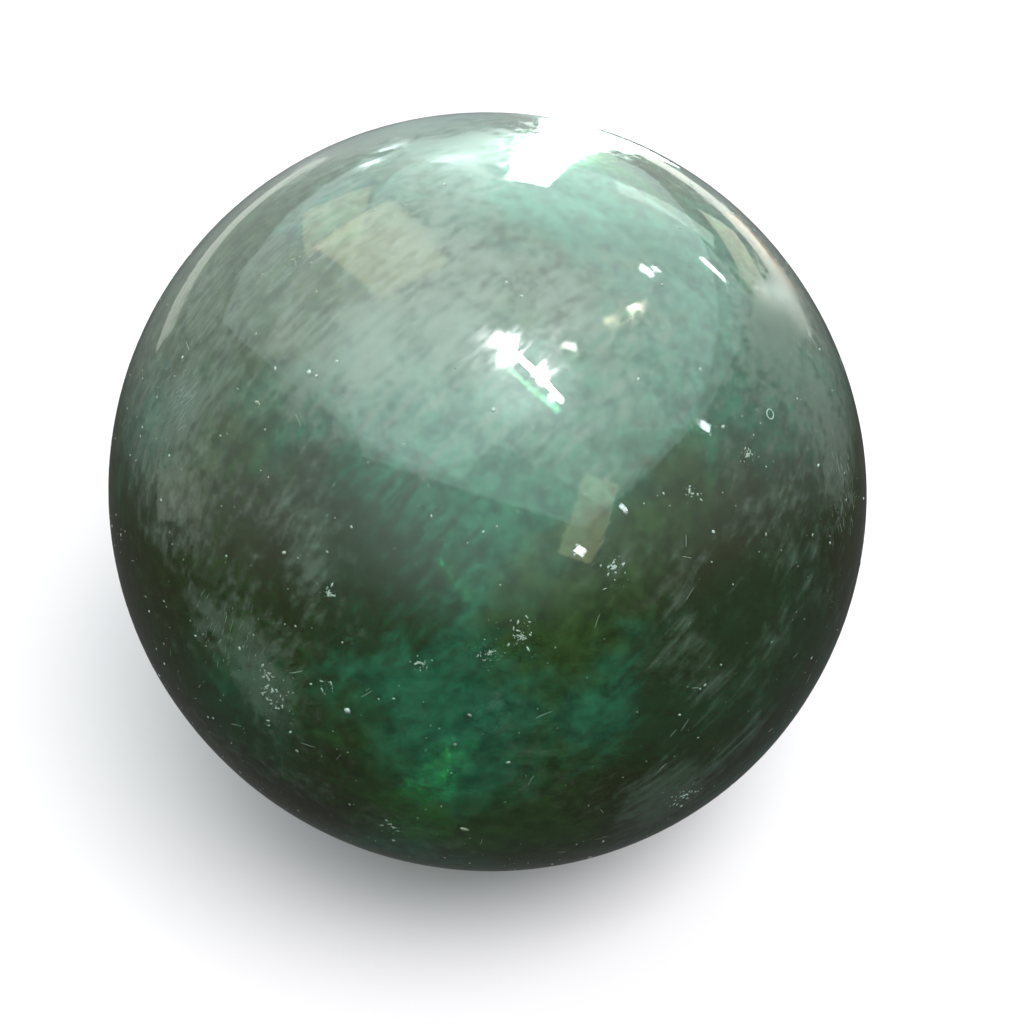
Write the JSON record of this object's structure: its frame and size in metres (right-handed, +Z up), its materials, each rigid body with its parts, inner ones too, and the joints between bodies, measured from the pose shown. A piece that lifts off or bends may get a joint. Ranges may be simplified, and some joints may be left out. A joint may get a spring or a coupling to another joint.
{
  "type": "glass float ball",
  "caption": "Large hand-blown glass fishing float: a sealed bottle-green ball that stands on its flattened seal button.",
  "frame": {"origin": "centre of the seal button's flat foot, on the surface that the float stands on", "axes": "+Z up through the middle of the ball, -Y towards the viewer, +X to the viewer's right"},
  "size_m": [0.3, 0.3, 0.305],
  "materials": {
    "ball_glass": "dark bottle-green soda-lime glass, fire polished, with haze, fine scratches and seed bubbles",
    "seal_glass": "the same glass in a thick gob, paddle marked and scuffed where it stands"
  },
  "bodies": {
    "root": {"float_ball": "ball_glass", "seal_button": "seal_glass"}
  },
  "joints": []
}
